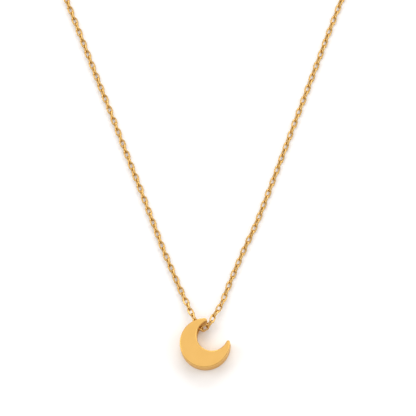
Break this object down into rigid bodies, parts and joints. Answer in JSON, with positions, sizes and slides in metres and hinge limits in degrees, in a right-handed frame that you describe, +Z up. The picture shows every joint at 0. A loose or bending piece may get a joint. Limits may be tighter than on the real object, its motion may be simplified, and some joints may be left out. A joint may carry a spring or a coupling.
{
  "type": "pendant necklace",
  "caption": "Solid crescent slide pendant threaded on a fine oval cable chain, with lobster clasp, jump rings, extender chain and ball drop, laid flat.",
  "frame": {"origin": "on the crescent's flat back face, at the middle of its thickest section; the necklace lies on the plane Z = 0", "axes": "+Z up from the surface it lies on, +Y from the pendant towards the clasp end, +X to the right seen from the front of the pendant"},
  "size_m": [0.0648, 0.1154, 0.0036],
  "materials": {
    "plated_gold_satin": "gold plated, satin faces with polished rims",
    "plated_gold_chain": "gold plated, bright drawn wire",
    "plated_gold_cast": "gold plated, tumbled casting",
    "plated_gold_polished": "gold plated, polished wire",
    "pin_steel": "riveted steel wire",
    "spring_steel": "spring steel leaf"
  },
  "bodies": {
    "chain": {"chain_strand_left": "plated_gold_chain", "chain_bight": "plated_gold_chain", "chain_strand_right": "plated_gold_chain", "chain_coil_left": "plated_gold_chain", "chain_coil_right": "plated_gold_chain", "chain_tail_left": "plated_gold_chain", "chain_tail_right": "plated_gold_chain"},
    "pendant": {"crescent_pendant": "plated_gold_satin"},
    "clasp_ring": {"clasp_jump_ring": "plated_gold_polished"},
    "clasp": {"clasp_body": "plated_gold_cast", "clasp_pin": "pin_steel", "clasp_spring": "spring_steel"},
    "lever": {"clasp_lever": "plated_gold_cast"},
    "end_ring": {"end_jump_ring": "plated_gold_polished"},
    "link_1": {"extender_link_1": "plated_gold_polished"},
    "link_2": {"extender_link_2": "plated_gold_polished"},
    "link_3": {"extender_link_3": "plated_gold_polished"},
    "link_4": {"extender_link_4": "plated_gold_polished"},
    "link_5": {"extender_link_5": "plated_gold_polished"},
    "link_6": {"extender_link_6": "plated_gold_polished"},
    "link_7": {"extender_link_7": "plated_gold_polished"},
    "link_8": {"extender_link_8": "plated_gold_polished"},
    "link_9": {"extender_link_9": "plated_gold_polished"},
    "link_10": {"extender_link_10": "plated_gold_polished"},
    "link_11": {"extender_link_11": "plated_gold_polished"},
    "link_12": {"extender_link_12": "plated_gold_polished"},
    "drop": {"end_drop": "plated_gold_polished"}
  },
  "joints": [
    {"name": "pendant_swing", "type": "hinge", "parent": "chain", "child": "pendant", "pos_m": [0.00056, 0.00595, 0.0017], "axis": [0.3875, -0.9219, 0], "range_deg": [-20, 20]},
    {"name": "clasp_ring_swivel", "type": "hinge", "parent": "chain", "child": "clasp_ring", "pos_m": [-0.0091, 0.08826, 0.0018], "axis": [0, 0, 1], "range_deg": [-20, 20]},
    {"name": "clasp_swivel", "type": "hinge", "parent": "clasp_ring", "child": "clasp", "pos_m": [-0.00703, 0.08643, 0.001], "axis": [0, 0, 1], "range_deg": [-30, 30]},
    {"name": "clasp_lever_pivot", "type": "hinge", "parent": "clasp", "child": "lever", "pos_m": [-0.00553, 0.08364, 0.001], "axis": [0, 0, 1], "range_deg": [0, 24], "stiffness_Nm_per_rad": 0.003, "springref_deg": -17.19},
    {"name": "end_ring_swivel", "type": "hinge", "parent": "chain", "child": "end_ring", "pos_m": [0.01451, 0.09053, 0.0013], "axis": [0, 0, 1], "range_deg": [-20, 20]},
    {"name": "link_1_hinge", "type": "hinge", "parent": "end_ring", "child": "link_1", "pos_m": [0.01222, 0.09186, 0.00118], "axis": [0, 0, -1], "range_deg": [-22, 22]},
    {"name": "link_2_hinge", "type": "hinge", "parent": "link_1", "child": "link_2", "pos_m": [0.00965, 0.09321, 0.00118], "axis": [0, 0, 1], "range_deg": [-22, 22]},
    {"name": "link_3_hinge", "type": "hinge", "parent": "link_2", "child": "link_3", "pos_m": [0.007, 0.09438, 0.00118], "axis": [0, 0, -1], "range_deg": [-22, 22]},
    {"name": "link_4_hinge", "type": "hinge", "parent": "link_3", "child": "link_4", "pos_m": [0.00431, 0.09545, 0.00118], "axis": [0, 0, 1], "range_deg": [-22, 22]},
    {"name": "link_5_hinge", "type": "hinge", "parent": "link_4", "child": "link_5", "pos_m": [0.00161, 0.09651, 0.00118], "axis": [0, 0, -1], "range_deg": [-22, 22]},
    {"name": "link_6_hinge", "type": "hinge", "parent": "link_5", "child": "link_6", "pos_m": [-0.00104, 0.09769, 0.00118], "axis": [0, 0, 1], "range_deg": [-22, 22]},
    {"name": "link_7_hinge", "type": "hinge", "parent": "link_6", "child": "link_7", "pos_m": [-0.00361, 0.09903, 0.00118], "axis": [0, 0, -1], "range_deg": [-22, 22]},
    {"name": "link_8_hinge", "type": "hinge", "parent": "link_7", "child": "link_8", "pos_m": [-0.00606, 0.10058, 0.00118], "axis": [0, 0, 1], "range_deg": [-22, 22]},
    {"name": "link_9_hinge", "type": "hinge", "parent": "link_8", "child": "link_9", "pos_m": [-0.0084, 0.10229, 0.00118], "axis": [0, 0, -1], "range_deg": [-22, 22]},
    {"name": "link_10_hinge", "type": "hinge", "parent": "link_9", "child": "link_10", "pos_m": [-0.01067, 0.10409, 0.00118], "axis": [0, 0, 1], "range_deg": [-22, 22]},
    {"name": "link_11_hinge", "type": "hinge", "parent": "link_10", "child": "link_11", "pos_m": [-0.01294, 0.10589, 0.00118], "axis": [0, 0, -1], "range_deg": [-22, 22]},
    {"name": "link_12_hinge", "type": "hinge", "parent": "link_11", "child": "link_12", "pos_m": [-0.01528, 0.1076, 0.00118], "axis": [0, 0, 1], "range_deg": [-22, 22]},
    {"name": "drop_swing", "type": "hinge", "parent": "link_12", "child": "drop", "pos_m": [-0.01767, 0.10925, 0.0015], "axis": [0, 0, -1], "range_deg": [-25, 25]}
  ]
}
